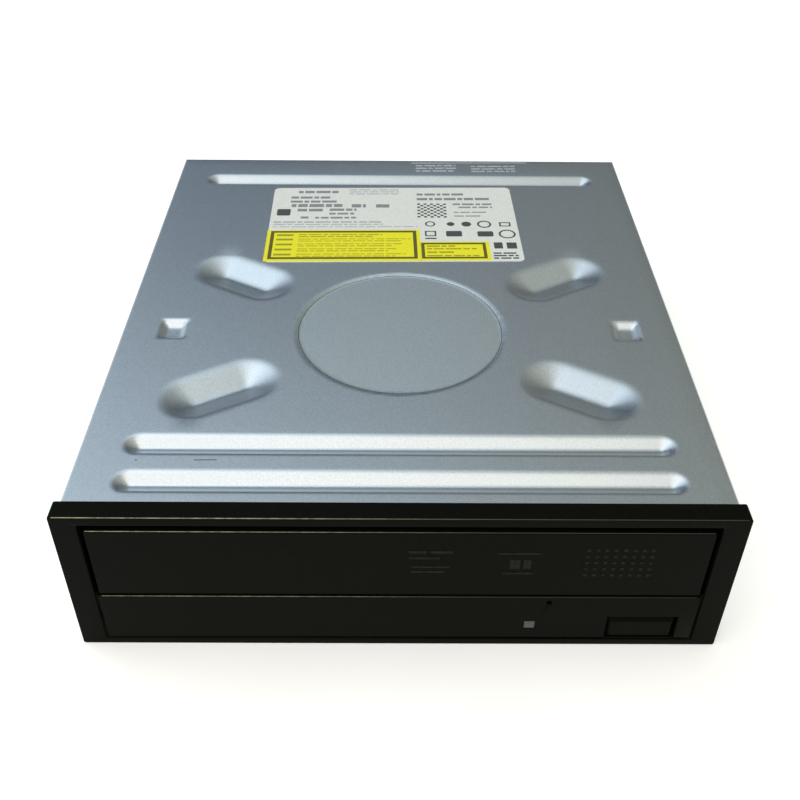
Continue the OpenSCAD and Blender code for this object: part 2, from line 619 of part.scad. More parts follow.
module traverse_holder() color(dark_abs) drive() difference() {
  union() {
    box(-holder_x, holder_x, 51, pivot_y + 3.5, 11, 14.5);
    box(-holder_x, holder_x, 50, 52.6, 11, 17.2);
    for (x = [-15, 15]) rod_in_y(x, 44.4, 51, pin_z, pin_r);
    for (x = [-15, 15]) rod_in_y(x, 47, 51, pin_z, pin_r + 1);
    both() rod_in_x(holder_x - 1, well_x + 4, pivot_y, pivot_z, 2);
    both() for (y = damper_y) rod(damper_x, y, 14, 15.2, 3.2);
  }
  box(10 - holder_x, holder_x - 7.2, 60, pivot_y - 5, 0, 20);
  both() for (y = damper_y) rod(damper_x, y, 10, 20, 0.9);
  for (x = [-30, 0, 30], y = [55.4, pivot_y]) translate([x, y, 0]) slab(18, 3, 1.4, 0, 12.6);
}
module dampers() color(rubber) drive() both() for (y = damper_y) difference() {
  union() {
    rod(damper_x, y, 15.2, plate_z, 2.9);
    rod(damper_x, y, plate_z - e, plate_z + plate_t, 1.9);
    rod(damper_x, y, plate_z + plate_t, plate_z + plate_t + 0.5, 2.9);
  }
  rod(damper_x, y, 10, 20, 1);
}
module damper_screws() color(chrome) drive() both() for (y = damper_y) difference() {
  union() {
    rod(damper_x, y, 11.5, 17.2, 0.9);
    rod(damper_x, y, plate_z + plate_t + 0.5, plate_z + plate_t + 1.1, 2.4);
  }
  for (a = [0, 90]) translate([damper_x, y, plate_z + plate_t + 0.8]) rotate(a)
    translate([-1.2, -0.2, 0]) cube([2.4, 0.4, 1]);
}
module mech_plate() color(steel) drive() difference() {
  box(1 - holder_x, holder_x - 1, 53, pivot_y + 2, plate_z, plate_z + plate_t);
  box(-31, screw_x + 7, disc_y + 16, pivot_y - 4.6, 0, 30);
  box(screw_x - 7, screw_x + 7, 67, 90, 0, 30);
  both() for (y = damper_y) rod(damper_x, y, 0, 30, 1.9);
  rod(0, disc_y, 0, 30, 4);
  for (a = arms) translate([0, disc_y, 0]) rotate(a) rod(19, 0, 0, 30, 1);
  translate([-38, 100, 0]) slab(5, 40, 2, 0, 30);
}
module spindle_base() color([0.72, 0.55, 0.20]) drive() translate([0, disc_y, 0]) difference() {
  union() {
    rod(0, 0, plate_z + plate_t, plate_z + plate_t + 0.6, 15.2);
    for (a = arms) rotate(a) box(10, 21.5, -2.8, 2.8, plate_z + plate_t, plate_z + plate_t + 0.6);
    rod(0, 0, 14.4, 22.6, 3);
    translate([0, 0, 19.6]) linear_extrude(2) {
      circle(r = 5.4);
      for (a = [0:40:320]) rotate(a) {
        translate([0, -0.8]) square([11, 1.6]);
        translate([10.2, -2.6]) square([1.4, 5.2]);
      }
    }
    for (a = [0:40:320]) rotate(a) box(5.9, 9.4, -1.5, 1.5, 19, 22);
  }
  rod(0, 0, 14.9, 30, 1.5 + run_fit);
  for (a = arms) rotate(a) rod(19, 0, 10, 30, 1);
}
module spindle_rotor() color(chrome) drive() translate([0, disc_y, 0]) {
  difference() {
    rod(0, 0, 17.8, 24, 14);
    rod(0, 0, 17, 23.2, 13.2);
  }
  difference() {
    rod(0, 0, 18.2, 23, 13.2);
    rod(0, 0, 17, 24, 12.2);
  }
  rod(0, 0, 15, 26, 1.5);
}
module turntable() color(dark_abs) drive() translate([0, disc_y, 0]) difference() {
  union() {
    rod(0, 0, 24, seat_z - 0.6, 15);
    rod(0, 0, seat_z - 0.7, seat_z, 11.6);
    rod(0, 0, seat_z - e, seat_z + 1.2, 7.35);
    translate([0, 0, seat_z + 1.2]) cylinder(h = 1.1, r1 = 7.35, r2 = 6.2);
  }
  rod(0, 0, 20, 26, 1.5);
  translate([0, 0, seat_z + 1.7]) rod(0, 0, 0, 2, 4.6);
  for (a = [0, 120, 240]) rotate(a) difference() {
    box(5.2, 8, -1.6, 1.6, seat_z + 0.2, seat_z + 3);
    box(5.6, 6.9, -1.3, 1.3, seat_z, seat_z + 1.8);
  }
}
module turntable_ring() color(rubber) drive() translate([0, disc_y, 0]) difference() {
  rod(0, 0, seat_z - 0.6, seat_z, 15);
  rod(0, 0, 20, 30, 11.6);
}
module guide_rod_main() color(chrome) drive() rod_in_y(-rod_x, disc_y + 13.4, pivot_y - 1.6, rod_z, rod_r);
module guide_rod_second() color(chrome) drive() rod_in_y(sub_x, disc_y + 13.4, pivot_y - 1.6, rod_z, rod_r);
module rod_clamp(x, y0, y1) difference() {
  union() {
    box(x - 3.2, x + 3.2, y0, y1, plate_z + plate_t, rod_z + rod_r + 0.8);
    box(x - 3.2, x + 3.2, y0, y1, plate_z + plate_t, plate_z + plate_t + 1);
  }
  rod_in_y(x, y0 - 1, y1 + 1, rod_z, rod_r);
  box(x - rod_r, x + rod_r, y0 - 1, y1 + 1, 0, rod_z);
}
module rod_clamps() color(dark_abs) drive() for (x = [-rod_x, sub_x]) {
  rod_clamp(x, disc_y + 13.6, disc_y + 15.8);
  rod_clamp(x, pivot_y - 4.4, pivot_y - 1.8);
}

module lead_screw() color(chrome) drive() difference() {
  union() {
    rod_in_y(screw_x, 74, pivot_y - 7.4, screw_z, 1.3);
    rod_in_y(screw_x, 86.5, pivot_y - 9, screw_z, 1.5);
  }
  for (i = [0:floor((pivot_y - 100) / 3)]) translate([screw_x, 88 + 3 * i, screw_z]) rotate([-90, 0, 0])
    rotate_extrude() polygon([[1.2, 0.5], [2, 0], [2, 1]]);
}
module sled_motor() color([0.62, 0.62, 0.60]) drive() difference() {
  union() {
    rod_in_y(screw_x, 70, 82, screw_z, 6);
    rod_in_y(screw_x, 82, 83, screw_z, 2.5);
    box(screw_x - 6.5, screw_x + 6.5, 83, 84, screw_z - 5, plate_z + plate_t + 0.8);
    box(screw_x + 5.5, screw_x + 9.5, 83, pivot_y - 5.6, plate_z + plate_t, plate_z + plate_t + 0.8);
    box(screw_x - 3, screw_x + 6.8, pivot_y - 8, pivot_y - 6.6, screw_z - 3, plate_z + plate_t + 0.8);
    box(screw_x - 7.5, screw_x + 9.5, 81, 84, plate_z + plate_t, plate_z + plate_t + 0.8);
  }
  rod_in_y(screw_x, 73.5, pivot_y - 6, screw_z, 1.3 + run_fit);
}

module pickup_body() color([0.55, 0.56, 0.58]) drive() difference() {
  union() {
    box(-20, 20, lens_y - 6, lens_y + 22, 13, 19.4);
    box(-16, 16, lens_y - 5, lens_y + 16, 13, 21.4);
    box(-rod_x - 3.4, -18, lens_y - 5, lens_y + 19, 15.6 + 1.4, 21.2);
    box(18, 27.4, lens_y + 2, lens_y + 10, 17, 21.2);
    box(18, 33, lens_y + 11, lens_y + 16, 13.4, 16.2);
    box(screw_x - 3.6, screw_x - 1.7, lens_y + 11, lens_y + 16, 13.4, 17.6);
  }
  rod_in_y(-rod_x, 0, 200, rod_z, rod_r + 0.03);
  box(-rod_x - 4, -rod_x + 2.2, lens_y + 3, lens_y + 11, 16, 22);
  box(sub_x - 3.6, 30, 0, 200, rod_z - rod_r - 0.05, rod_z + rod_r + 0.05);
  translate([0, disc_y, 0]) rod(0, 0, 0, 40, 17.6);
  box(-8.5, 8.5, lens_y - 4, lens_y + 6, 18.6, 30);
  box(-12, 4, lens_y + 12, lens_y + 20, 19, 30);
  rod(11, lens_y + 16, 18.9, 30, 3);
}
module pickup_cover() color(chrome) drive() difference() {
  box(-14, 14, lens_y - 4.8, lens_y + 10, 21.4, 24.2);
  box(-13.6, 13.6, lens_y - 4.4, lens_y + 9.6, 20, 23.8);
  box(-7, 7, lens_y - 4, lens_y + 6, 20, 26);
}
module lens_holder() color([0.10, 0.16, 0.22]) drive() difference() {
  box(-6, 6, lens_y - 3.2, lens_y + 5, 20.6, 24);
  rod(0, lens_y, 22.4, 30, 2.9);
  rod(0, lens_y, 0, 30, 2.2);
}
module lens() color([0.35, 0.45, 0.62]) drive() intersection() {
  rod(0, lens_y, 22.4, 26, 2.9);
  translate([0, lens_y, 21.1]) sphere(r = 4.1);
}

module main_board() color(board) drive() difference() {
  box(12.7 - inner, inner - 12.7, board_y, drive_l - 2 * sheet - 0.2, board_z, board_top);
  both() for (y = boss_y) rod(boss_x, y, 0, 10, 1.25);
  both() rod(corner[1][0], corner[1][1], 0, 10, 5);
}
module board_screws() color(chrome) drive() {
  both() for (y = boss_y) difference() {
    union() {
      rod(boss_x, y, floor_z + 0.3, board_top + 0.2, 1.2);
      rod(boss_x, y, board_top, board_top + 1, 2.3);
    }
    for (a = [0, 90]) translate([boss_x, y, board_top + 0.5]) rotate(a)
      translate([-1.3, -0.22, 0]) cube([2.6, 0.44, 1]);
  }
  for (x = panel_screws) {
    rod(x, 18, 2.1, front_z, 2.2);
    rod(x, 18, 2.1, front_z + 4, 1);
  }
}
module chip(x, y, w, l, h, legs) {
  box(x - w / 2, x + w / 2, y - l / 2, y + l / 2, board_top + 0.1, board_top + h);
  for (s = [-1, 1]) {
    n = floor((l - 2) / 1.6);
    for (i = [0:n - 1]) box(x + (s > 0 ? w / 2 - 0.1 : -w / 2 - 0.8), x + (s > 0 ? w / 2 + 0.8 : -w / 2 + 0.1),
      y - (n - 1) * 0.8 + 1.6 * i - 0.3, y - (n - 1) * 0.8 + 1.6 * i + 0.3, board_top, board_top + 0.5);
  }
}
module chips() color([0.07, 0.07, 0.08]) drive() {
  chip(-20, board_y + 40, 20, 20, 1.5);
  chip(14, board_y + 36, 14, 14, 1.3);
  chip(36, board_y + 44, 10, 18, 1.4);
  chip(-44, board_y + 36, 8, 10, 1.3);
  chip(-48, board_y + 20, 6, 8, 1.3);
  chip(40, board_y + 20, 6, 10, 1.3);
}
module capacitors() color([0.16, 0.15, 0.13]) drive() {
  translate([0, board_y, 0]) {
    for (p = [[-52, 68], [-52, 48], [20, 68], [54, 70]]) rod(p[0], p[1], board_top, board_top + 5, 2.5);
    for (p = [[32, 68], [44, 68], [-30, 18], [-10, 16], [10, 16], [24, 20], [54, 48]])
      box(p[0] - 1.6, p[0] + 1.6, p[1] - 0.8, p[1] + 0.8, board_top, board_top + 1.2);
  }
}
module connector(x0, x1, d) difference() {
  box(x0, x1, drive_l - 10, drive_l, board_top, board_top + 7.6);
  difference() {
    box(x0 + 1.4, x1 - 1.4, drive_l - 8, drive_l + 1, board_top + 1.3, board_top + 6.4);
    box(x0 + 2.4, x1 - 2.4, drive_l - 9, drive_l - 0.6, board_top + 3.2, board_top + 4.4);
    box(x0 + 2.4, x0 + 3.6, drive_l - 9, drive_l - 0.6, board_top + 3.2, board_top + 5.4);
  }
}
module data_connector() color(dark_abs) drive() connector(-44, -28);
module power_connector() color(dark_abs) drive() connector(-23, 4);

module front_board() color(board) drive() difference() {
  box(button_x - 34, button_x + 4, 6.8, 23, front_z, front_top);
  for (x = panel_screws) rod(x, 18, 0, 10, 1);
}
module eject_switch() color([0.12, 0.12, 0.12]) drive() {
  box(button_x - 3, button_x + 3, 11.4, 15, front_top, front_top + 4.6);
  rod_in_y(button_x, 11, 11.5, front_top + 2.3, 1.4);
}
module led() color([0.90, 0.90, 0.80]) drive() box(led_x - 1, led_x + 1, 7.4, 9, front_top, front_top + 1.1);
module cable(y0, y1) box(cable_x - 2.8, cable_x + 2.8, y0, y1, board_top + 0.55, board_top + 0.7);
module flat_cable() color([0.88, 0.88, 0.86]) drive() cable(19, board_y + 7);
module cable_sockets() color([0.80, 0.78, 0.72]) drive() {
  difference() {
    box(cable_x - 4, cable_x + 4, board_y + 4.4, board_y + 9.4, board_top, board_top + 1.8);
    cable(board_y - 2, board_y + 7);
  }
  difference() {
    box(cable_x - 4, cable_x + 4, 17, 21.6, front_top, front_top + 1.8);
    cable(19, 30);
  }
}

top_cover();
bottom_cover();
cover_screws();
label();
bezel();
tray_door();
eject_button();
light_pipe();
disc_tray();
main_frame();
clamp_bridge();
bridge_screws();
clamper();
clamper_plate();
load_motor();
motor_pulley();
drive_belt();
pulley_gear();
drive_gear();
gear_clips();
cam_slider();
traverse_holder();
dampers();
damper_screws();
mech_plate();
spindle_base();
spindle_rotor();
turntable();
turntable_ring();
guide_rod_main();
guide_rod_second();
rod_clamps();
lead_screw();
sled_motor();
pickup_body();
pickup_cover();
lens_holder();
lens();
main_board();
chips();
capacitors();
data_connector();
power_connector();
board_screws();
front_board();
eject_switch();
led();
flat_cable();
cable_sockets();
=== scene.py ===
"""Internal DVD writer, dressed over its CAD frame. Metres, X right, Y back, Z up."""

import json
import math

import bmesh
import bpy
import numpy as np
from mathutils import Matrix, Vector

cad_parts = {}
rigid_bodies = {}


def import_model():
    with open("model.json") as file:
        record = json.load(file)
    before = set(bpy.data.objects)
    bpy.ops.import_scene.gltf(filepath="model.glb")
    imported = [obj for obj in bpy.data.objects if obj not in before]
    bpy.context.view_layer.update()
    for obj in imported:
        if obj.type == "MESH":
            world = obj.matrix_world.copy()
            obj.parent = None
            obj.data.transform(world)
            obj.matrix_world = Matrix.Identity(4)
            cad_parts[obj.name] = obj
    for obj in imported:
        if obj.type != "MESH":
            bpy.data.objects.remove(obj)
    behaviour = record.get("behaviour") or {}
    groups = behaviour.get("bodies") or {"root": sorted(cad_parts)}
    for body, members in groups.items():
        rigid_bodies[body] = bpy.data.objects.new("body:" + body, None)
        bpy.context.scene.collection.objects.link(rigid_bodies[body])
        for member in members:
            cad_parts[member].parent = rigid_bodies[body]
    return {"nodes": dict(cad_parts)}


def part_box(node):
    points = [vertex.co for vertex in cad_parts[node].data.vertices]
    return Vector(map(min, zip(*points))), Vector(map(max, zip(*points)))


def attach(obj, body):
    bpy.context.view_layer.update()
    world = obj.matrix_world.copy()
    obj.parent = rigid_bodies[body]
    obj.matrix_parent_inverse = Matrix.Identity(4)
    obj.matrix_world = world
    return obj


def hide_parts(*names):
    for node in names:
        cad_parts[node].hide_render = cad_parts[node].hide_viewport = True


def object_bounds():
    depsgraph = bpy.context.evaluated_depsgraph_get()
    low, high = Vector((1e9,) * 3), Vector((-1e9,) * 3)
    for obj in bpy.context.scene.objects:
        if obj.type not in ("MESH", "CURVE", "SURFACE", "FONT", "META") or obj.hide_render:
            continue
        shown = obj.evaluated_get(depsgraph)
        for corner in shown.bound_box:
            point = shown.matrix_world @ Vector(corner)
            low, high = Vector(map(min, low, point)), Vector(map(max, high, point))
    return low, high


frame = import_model()
cad_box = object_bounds()
nodes = frame["nodes"]
scene = bpy.context.scene

MM = 0.001
CASE_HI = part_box("top_cover")[1]
BEZEL_LO, BEZEL_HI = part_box("bezel")
LABEL_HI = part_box("label")[1]
DOOR_LO, DOOR_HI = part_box("tray_door")
FRONT_Y = BEZEL_LO.y
CASE_TOP = CASE_HI.z


def from_front(y_mm):
    """Depth behind the front face of the bezel, in millimetres, as a Y in the frame."""
    return FRONT_Y + y_mm * MM


# ---------------------------------------------------------------- camera and light

CAMERA_AT = (-0.0016185, -0.2321906, 0.1938376)
CAMERA_LENS = 45.083
CAMERA_SENSOR = 36.0
CAMERA_YAW, CAMERA_PITCH, CAMERA_ROLL = 0.4636, 39.1091, 0.5689


def make_camera():
    yaw, pitch, roll = (math.radians(a) for a in (CAMERA_YAW, CAMERA_PITCH, CAMERA_ROLL))
    ahead = Vector((math.sin(yaw) * math.cos(pitch), math.cos(yaw) * math.cos(pitch), -math.sin(pitch)))
    right = Vector((math.cos(yaw), -math.sin(yaw), 0))
    up = right.cross(ahead)
    right, up = (
        math.cos(roll) * right + math.sin(roll) * up,
        math.cos(roll) * up - math.sin(roll) * right,
    )
    data = bpy.data.cameras.new("photo_camera")
    data.lens, data.sensor_width = CAMERA_LENS, CAMERA_SENSOR
    data.clip_start, data.clip_end = 0.01, 50
    camera = bpy.data.objects.new("photo_camera", data)
    camera.matrix_world = Matrix.Translation(CAMERA_AT) @ Matrix((right, up, -ahead)).transposed().to_4x4()
    scene.collection.objects.link(camera)
    scene.camera = camera


# Colours of the studio by direction, at the left and at the right, and where each band turns into the next:
# spans of X, Y and Z of the unit direction.
FRONT_COOL, FRONT_WARM = (0.68, 0.66, 0.61), (0.66, 0.62, 0.52)
MIDDLE_COOL, MIDDLE_WARM = (1.55, 1.80, 2.00), (0.61, 0.645, 0.57)
REAR_COOL, REAR_WARM = (0.02, 0.04, 0.08), (0.075, 0.08, 0.08)
WHITE = (1.0, 1.0, 1.0)
SIDE_X = (-0.3, 0.35)
NEAR_Y = (-0.1, 0.4)
BEHIND_Y = (0.3, 1.0)
CORNER_X, CORNER_Y, CORNER_DIM = (-0.12, 0.02), (0.68, 0.86), 0.6
HORIZON_Z = (0.0, 0.12)

KEY_AT = Vector((-0.25, -0.55, 1.15))
KEY_SIZE = 1.5
KEY_POWER = 7.4
KEY_COLOUR = (1.0, 0.985, 0.96)
FLOOR_SIZE = 6.0
FLOOR_DARK = (0.985, 0.985, 0.985)
FLOOR_LIFT = 0.24


def make_world():
    """Pale in front and overhead, dim behind the drive and most at its left; cool on the left and warm on
    the right. White at the horizon, and wherever the camera sees it."""
    world = bpy.data.worlds.new("studio")
    scene.world = world
    world.use_nodes = True
    tree = world.node_tree
    back = tree.nodes["Background"]
    where = tree.nodes.new("ShaderNodeTexCoord")
    split = tree.nodes.new("ShaderNodeSeparateXYZ")
    tree.links.new(where.outputs["Generated"], split.inputs[0])
    x, y, z = (split.outputs[axis] for axis in "XYZ")
    side = ranged(tree, x, *SIDE_X, 0, 1)
    front = blended(tree, side, FRONT_COOL, FRONT_WARM)
    middle = blended(tree, side, MIDDLE_COOL, MIDDLE_WARM)
    rear = blended(tree, side, REAR_COOL, REAR_WARM)
    near = blended(tree, ranged(tree, y, *NEAR_Y, 0, 1), front, middle)
    around = blended(tree, ranged(tree, y, *BEHIND_Y, 0, 1, "LINEAR"), near, rear)
    left = ranged(tree, x, *CORNER_X, CORNER_DIM, 0)
    corner = combined(tree, "MULTIPLY", left, ranged(tree, y, *CORNER_Y, 0, 1))
    around = blended(tree, corner, around, REAR_COOL)
    seen = tree.nodes.new("ShaderNodeLightPath").outputs["Is Camera Ray"]
    pale = combined(tree, "MAXIMUM", seen, ranged(tree, z, *HORIZON_Z, 1, 0))
    tree.links.new(blended(tree, pale, around, WHITE), back.inputs["Color"])
    back.inputs["Strength"].default_value = 1.0


def ranged(tree, value, low, high, to_low, to_high, course="SMOOTHSTEP"):
    """value mapped from low..high to to_low..to_high."""
    step = tree.nodes.new("ShaderNodeMapRange")
    step.interpolation_type = course
    tree.links.new(value, step.inputs["Value"])
    for name, number in (("From Min", low), ("From Max", high), ("To Min", to_low), ("To Max", to_high)):
        step.inputs[name].default_value = number
    return step.outputs["Result"]


def combined(tree, operation, *values):
    """The result of a math node; each value is a number or a socket."""
    node = tree.nodes.new("ShaderNodeMath")
    node.operation = operation
    for socket, value in zip(node.inputs, values):
        if isinstance(value, (int, float)):
            socket.default_value = value
        else:
            tree.links.new(value, socket)
    return node.outputs[0]


def blended(tree, factor, first, second):
    """Colour between first and second; each is a tuple or a socket."""
    mix = tree.nodes.new("ShaderNodeMix")
    mix.data_type = "RGBA"
    tree.links.new(factor, mix.inputs["Factor"])
    for socket, colour in ((mix.inputs["A"], first), (mix.inputs["B"], second)):
        if isinstance(colour, tuple):
            socket.default_value = (*colour, 1)
        else:
            tree.links.new(colour, socket)
    return mix.outputs["Result"]


def make_lights():
    data = bpy.data.lights.new("key", "AREA")
    data.shape, data.size, data.energy = "SQUARE", KEY_SIZE, KEY_POWER
    data.color = KEY_COLOUR
    key = bpy.data.objects.new("key", data)
    key.location = KEY_AT
    key.rotation_mode = "QUATERNION"
    key.rotation_quaternion = KEY_AT.to_track_quat("Z", "Y")
    scene.collection.objects.link(key)


def make_floor():
    """A plain floor that keeps its shadow; its lift shows to the camera and in metal and glass alone."""
    half = FLOOR_SIZE / 2
    data = bpy.data.meshes.new("floor")
    z = cad_box[0].z
    corners = [(-half, -half, z), (half, -half, z), (half, half, z), (-half, half, z)]
    data.from_pydata(corners, [], [(0, 1, 2, 3)])
    floor = bpy.data.objects.new("floor", data)
    white = finish("studio_floor", FLOOR_DARK, WHITE, rough=(0.9, 1.0), grain=30)
    tree = white.node_tree
    path = tree.nodes.new("ShaderNodeLightPath")
    seen = combined(tree, "MAXIMUM", path.outputs["Is Camera Ray"], path.outputs["Is Glossy Ray"])
    seen = combined(tree, "MAXIMUM", seen, path.outputs["Is Transmission Ray"])
    shader = tree.nodes["Principled BSDF"]
    shader.inputs["Emission Color"].default_value = (1, 1, 1, 1)
    tree.links.new(ranged(tree, seen, 0, 1, 0, FLOOR_LIFT, "LINEAR"), shader.inputs["Emission Strength"])
    data.materials.append(white)
    scene.collection.objects.link(floor)


# ---------------------------------------------------------------- materials


def noise(tree, where, scale, detail=3.0, roughness=0.55):
    node = tree.nodes.new("ShaderNodeTexNoise")
    tree.links.new(where, node.inputs["Vector"])
    node.inputs["Scale"].default_value = scale
    node.inputs["Detail"].default_value = detail
    node.inputs["Roughness"].default_value = roughness
    return node.outputs["Fac"]


def finish(name, dark, light, rough=(0.4, 0.5), metal=0.0, grain=1500, clouds=0.0, cloud_scale=14,
           bump=0.0, bump_depth=0.00004, specular=0.5, **sockets):
    """A procedural surface: grain mixes dark and light, clouds darken it in broad patches."""
    material = bpy.data.materials.new(name)
    material.use_nodes = True
    tree = material.node_tree
    shader = tree.nodes["Principled BSDF"]
    where = tree.nodes.new("ShaderNodeTexCoord").outputs["Object"]
    fine = noise(tree, where, grain)
    colour = blended(tree, ranged(tree, fine, 0.3, 0.7, 0, 1), dark, light)
    if clouds:
        broad = noise(tree, where, cloud_scale, 4)
        shade = tuple(c * (1 - clouds) for c in dark)
        colour = blended(tree, ranged(tree, broad, 0.35, 0.75, 0, clouds * 4), colour, shade)
    tree.links.new(colour, shader.inputs["Base Color"])
    tree.links.new(ranged(tree, fine, 0.3, 0.7, *rough), shader.inputs["Roughness"])
    shader.inputs["Metallic"].default_value = metal
    shader.inputs["Specular IOR Level"].default_value = specular
    if bump:
        node = tree.nodes.new("ShaderNodeBump")
        node.inputs["Strength"].default_value = bump
        node.inputs["Distance"].default_value = bump_depth
        tree.links.new(fine, node.inputs["Height"])
        tree.links.new(node.outputs["Normal"], shader.inputs["Normal"])
    for socket, value in sockets.items():
        shader.inputs[socket.replace("_", " ")].default_value = value
    return material


LOOKS = {
    "sheet_steel": dict(dark=(0.50, 0.535, 0.56), light=(0.60, 0.64, 0.665), rough=(0.29, 0.36), metal=1.0,
                        grain=2600, clouds=0.05, bump=0.12),
    "machine_steel": dict(dark=(0.62, 0.62, 0.61), light=(0.72, 0.72, 0.71), rough=(0.22, 0.34),
                          metal=1.0, grain=1800),
    "zinc_cast": dict(dark=(0.42, 0.43, 0.44), light=(0.50, 0.51, 0.52), rough=(0.45, 0.58), metal=1.0,
                      grain=1600, bump=0.2),
    "black_abs": dict(dark=(0.0030, 0.0031, 0.0020), light=(0.0050, 0.0051, 0.0034), rough=(0.34, 0.46),
                      grain=2200, clouds=0.1, bump=0.25, specular=0.03),
    "grey_abs": dict(dark=(0.030, 0.030, 0.032), light=(0.040, 0.040, 0.042), rough=(0.45, 0.55),
                     grain=2000, bump=0.25),
    "white_pom": dict(dark=(0.72, 0.72, 0.68), light=(0.80, 0.80, 0.76), rough=(0.35, 0.45), grain=900),
    "paper": dict(dark=(0.670, 0.687, 0.660), light=(0.742, 0.758, 0.730), rough=(0.4, 0.5), grain=1400,
                  clouds=0.03),
    "black_rubber": dict(dark=(0.014, 0.014, 0.014), light=(0.022, 0.022, 0.022), rough=(0.7, 0.85),
                         grain=1200, bump=0.2),
    "green_board": dict(dark=(0.010, 0.085, 0.030), light=(0.016, 0.115, 0.042), rough=(0.3, 0.42),
                        grain=1500),
    "chip_black": dict(dark=(0.012, 0.012, 0.013), light=(0.020, 0.020, 0.021), rough=(0.5, 0.62),
                       grain=2400, bump=0.2),
    "clear_pipe": dict(dark=(0.044, 0.048, 0.052), light=(0.062, 0.068, 0.074), rough=(0.25, 0.35),
                       grain=1600),
    "copper_coils": dict(dark=(0.50, 0.20, 0.07), light=(0.66, 0.30, 0.12), rough=(0.3, 0.42), metal=1.0,
                         grain=2600),
    "lens_glass": dict(dark=(0.05, 0.07, 0.13), light=(0.09, 0.12, 0.20), rough=(0.02, 0.05), grain=600,
                       Coat_Weight=1.0, Coat_Roughness=0.03),
    "cable_white": dict(dark=(0.72, 0.72, 0.68), light=(0.80, 0.80, 0.77), rough=(0.4, 0.5), grain=1200),
    "socket_cream": dict(dark=(0.58, 0.54, 0.44), light=(0.66, 0.62, 0.52), rough=(0.4, 0.5), grain=1400),
}
materials = {name: finish(name + "_look", **look) for name, look in LOOKS.items()}
PRINTS = {
    "print_yellow": dict(dark=(0.77, 0.73, 0.006), light=(0.84, 0.80, 0.012), rough=(0.4, 0.5), grain=1600),
    "print_olive": dict(dark=(0.085, 0.080, 0.008), light=(0.115, 0.108, 0.012), rough=(0.4, 0.5),
                        grain=1600),
    "print_moss": dict(dark=(0.27, 0.26, 0.008), light=(0.36, 0.345, 0.012), rough=(0.4, 0.5), grain=1600),
    "print_dark": dict(dark=(0.045, 0.05, 0.055), light=(0.070, 0.075, 0.08), rough=(0.4, 0.5), grain=1600),
    "print_grey": dict(dark=(0.19, 0.205, 0.22), light=(0.26, 0.28, 0.30), rough=(0.4, 0.5), grain=1600),
    "print_pale": dict(dark=(0.38, 0.41, 0.43), light=(0.45, 0.48, 0.50), rough=(0.4, 0.5), grain=1600),
    "ghost_print": dict(dark=(0.56, 0.60, 0.63), light=(0.64, 0.68, 0.71), rough=(0.5, 0.6), metal=0.8,
                        grain=2600),
    # Painted highlight: bright strips along the front edges stand in for the light caught there.
    "edge_glint": dict(dark=(0.12, 0.12, 0.05), light=(0.36, 0.36, 0.22), rough=(0.3, 0.5), grain=700),
    # The relief is painted a little lighter than the door: a painted sheen for the light its embossed edges
    # catch.
    "relief": dict(dark=(0.0018, 0.0018, 0.0012), light=(0.012, 0.012, 0.008), rough=(0.3, 0.4), grain=1100,
                   specular=0.08),
    "scuff": dict(dark=(0.05, 0.05, 0.055), light=(0.12, 0.12, 0.13), rough=(0.5, 0.7), metal=0.4,
                  grain=3000),
}
materials.update({name: finish(name + "_look", **look) for name, look in PRINTS.items()})


# Painted light on the round field: a lighter tint over the disc and a thin painted shade line at its edge.
FIELD_PAINTED_LIGHT, FIELD_ROUGHER, FIELD_BLUR = (1.08, 1.09, 1.06), 0.08, (-0.1, 0.2)
FIELD_PAINTED_SHADE, FIELD_SHADE_LINE, FIELD_SHADE_LINE_CORE = (0.40, 0.40, 0.37), 0.20, 0.3
# Where the painted edge highlights fade out towards the right.
GLINT_FROM, GLINT_TO, GLINT_DIM = -50.0, 25.0, (0.05, 0.05, 0.04)


def make_field():
    """The round field inside the sheet's look: a matte disc painted slightly lighter, as if it caught more
    light, with a thin dark line of painted shade along its sunken edge.
    """
    tree = materials["sheet_steel"].node_tree
    shader = tree.nodes["Principled BSDF"]
    where = tree.nodes.new("ShaderNodeTexCoord").outputs["Object"]
    distance = tree.nodes.new("ShaderNodeVectorMath")
    distance.operation = "DISTANCE"
    tree.links.new(where, distance.inputs[0])
    distance.inputs[1].default_value = (0, from_front(DISC_Y), CASE_TOP - FIELD_DEPTH * MM)
    away = distance.outputs["Value"]
    edge = FIELD_RADIUS - FIELD_SLOPE
    inside = ranged(tree, away, (edge + FIELD_BLUR[0]) * MM, (edge + FIELD_BLUR[1]) * MM, 1, 0)
    # Painted shade: a thin dark line along the edge of the sunken field; the disc inside is painted lighter.
    off_shade_line = combined(tree, "ABSOLUTE", combined(tree, "SUBTRACT", away, (edge - FIELD_SHADE_LINE) * MM))
    line = ranged(tree, off_shade_line, FIELD_SHADE_LINE_CORE * FIELD_SHADE_LINE * MM, FIELD_SHADE_LINE * MM, 1, 0)
    steel = shader.inputs["Base Color"].links[0].from_socket
    disc = blended(tree, inside, steel, tinted(tree, steel, FIELD_PAINTED_LIGHT))
    tree.links.new(blended(tree, line, disc, tinted(tree, steel, FIELD_PAINTED_SHADE)), shader.inputs["Base Color"])
    rough = shader.inputs["Roughness"].links[0].from_socket
    tree.links.new(combined(tree, "MULTIPLY_ADD", inside, FIELD_ROUGHER, rough), shader.inputs["Roughness"])


